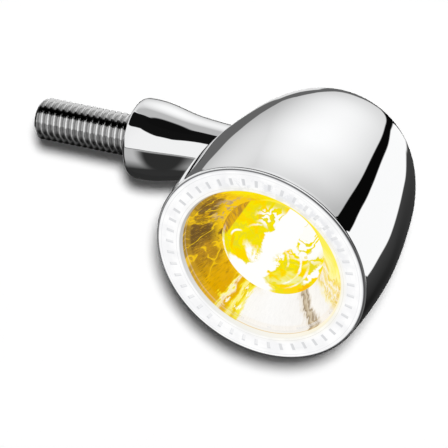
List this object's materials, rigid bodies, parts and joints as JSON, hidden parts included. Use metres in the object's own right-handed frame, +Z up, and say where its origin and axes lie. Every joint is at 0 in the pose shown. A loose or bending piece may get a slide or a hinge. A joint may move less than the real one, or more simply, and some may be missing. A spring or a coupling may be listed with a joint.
{
  "type": "turn signal indicator",
  "caption": "Bullet-shaped turn signal with a chrome shell, lit ring, round lens and hollow threaded mounting stud, for the handlebar or tail of a motorcycle.",
  "frame": {"origin": "centre of the arm's mounting shoulder face, on the stud axis", "axes": "-X out along the stud, +X along the arm to the lamp head, -Y out through the lens, +Z up"},
  "size_m": [0.0773, 0.0442, 0.0402],
  "materials": {
    "chrome": "mirror-polished plating",
    "stud_steel": "zinc-plated rolled thread",
    "fastener_steel": "zinc-plated",
    "black_rubber": "matte",
    "ring_plastic": "milky translucent, lit from behind",
    "lens_clear": "clear, glossy",
    "metallised": "vacuum-metallised",
    "optic_clear": "clear, glossy",
    "amber_emitter": "amber phosphor",
    "white_emitter": "white phosphor",
    "white_board": "white solder mask",
    "green_board": "green solder mask",
    "aluminium": "natural",
    "brass": "bright",
    "black_plastic": "matte",
    "lead_black": "satin",
    "lead_blue": "satin",
    "lead_white": "satin"
  },
  "bodies": {
    "stud": {"threaded_stud": "stud_steel", "stud_o_ring": "black_rubber", "stud_grommet": "black_rubber"},
    "lamp": {"housing_shell": "chrome", "stem_arm": "chrome", "stem_washer": "fastener_steel", "stem_nut": "fastener_steel", "friction_washer": "fastener_steel", "light_ring": "ring_plastic", "ring_gasket": "black_rubber", "front_lens": "lens_clear", "reflector_bowl": "metallised", "centre_optic": "optic_clear", "amber_led": "amber_emitter", "led_board": "white_board", "led_screws": "fastener_steel", "heat_sink": "aluminium", "position_board": "white_board", "position_leds": "white_emitter", "driver_board": "green_board", "board_spacers": "brass", "driver_screws": "fastener_steel", "link_pins": "brass", "ring_link_pins": "brass", "driver_chip": "black_plastic", "filter_inductor": "black_plastic", "capacitors": "aluminium", "chip_resistors": "black_plastic", "protection_diodes": "black_plastic", "lead_sheath": "black_plastic", "ground_lead": "lead_black", "turn_lead": "lead_blue", "position_lead": "lead_white"}
  },
  "joints": [
    {"name": "aim_swivel", "type": "hinge", "parent": "stud", "child": "lamp", "pos_m": [0, 0, 0], "axis": [1, 0, 0], "range_deg": [-180, 180]}
  ]
}
